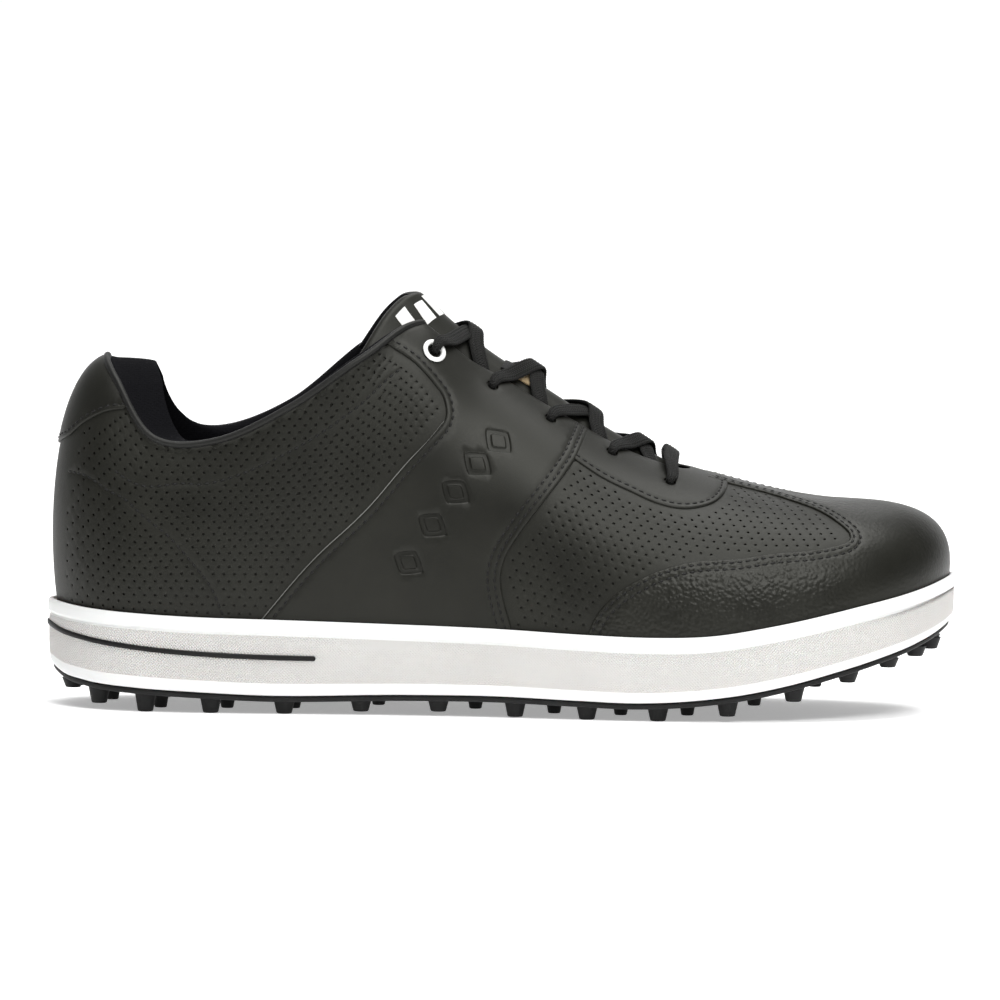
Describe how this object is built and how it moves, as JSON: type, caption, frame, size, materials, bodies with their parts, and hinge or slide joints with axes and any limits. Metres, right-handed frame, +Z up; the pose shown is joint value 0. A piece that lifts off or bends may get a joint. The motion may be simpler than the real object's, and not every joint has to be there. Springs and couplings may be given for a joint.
{
  "type": "spikeless golf shoe",
  "caption": "Low lace-up golf shoe, right foot: black leather upper with perforated and smooth panels on a white cupsole with a studded rubber outsole.",
  "frame": {"origin": "on the ground under the middle of the shoe's bounding box", "axes": "+X towards the toe, -Y towards the outer side of the foot, +Z up"},
  "size_m": [0.3, 0.1032, 0.1382],
  "materials": {
    "leather": "pebbled, semi-matte",
    "smooth_leather": "smooth satin",
    "midsole_rubber": "matte with a fine texture",
    "outsole_rubber": "matte",
    "stripe_paint": "satin",
    "foam": "matte foam",
    "board": "matte",
    "steel": "brushed",
    "stiffener": "matte",
    "textile": "knitted",
    "lace_cotton": "ribbed weave",
    "eyelet_white": "gloss",
    "keeper": "woven",
    "print_white": "satin print",
    "lace_tip": "gloss"
  },
  "bodies": {
    "shoe": {"outsole": "outsole_rubber", "midsole": "midsole_rubber", "heel_stripe": "stripe_paint", "eva_wedge": "foam", "shank": "steel", "lasting_board": "board", "sockliner_foam": "foam", "sockliner_cloth": "textile", "toe_guard": "leather", "vamp_lateral": "leather", "vamp_medial": "leather", "eyestay_front": "smooth_leather", "saddle_lateral": "smooth_leather", "saddle_medial": "smooth_leather", "quarter_lateral": "leather", "quarter_medial": "leather", "heel_tab": "smooth_leather", "collar_binding": "textile", "collar_foam": "foam", "collar_lining": "textile", "heel_counter": "stiffener", "toe_puff": "stiffener", "vamp_lining": "textile", "quarter_lining_lateral": "textile", "quarter_lining_medial": "textile", "stay_lateral": "textile", "stay_medial": "textile", "eyelet_rings": "eyelet_white", "eyelet_washers": "steel", "lace": "lace_cotton", "aglets": "lace_tip"},
    "tongue": {"tongue_outer": "leather", "tongue_foam": "foam", "tongue_lining": "textile", "tongue_badge": "keeper", "tongue_mark": "print_white"}
  },
  "joints": [
    {"name": "tongue_fold", "type": "hinge", "parent": "shoe", "child": "tongue", "pos_m": [0.068, 0, 0.0755], "axis": [0, 1, 0], "range_deg": [-6, 0], "stiffness_Nm_per_rad": 0.5}
  ]
}
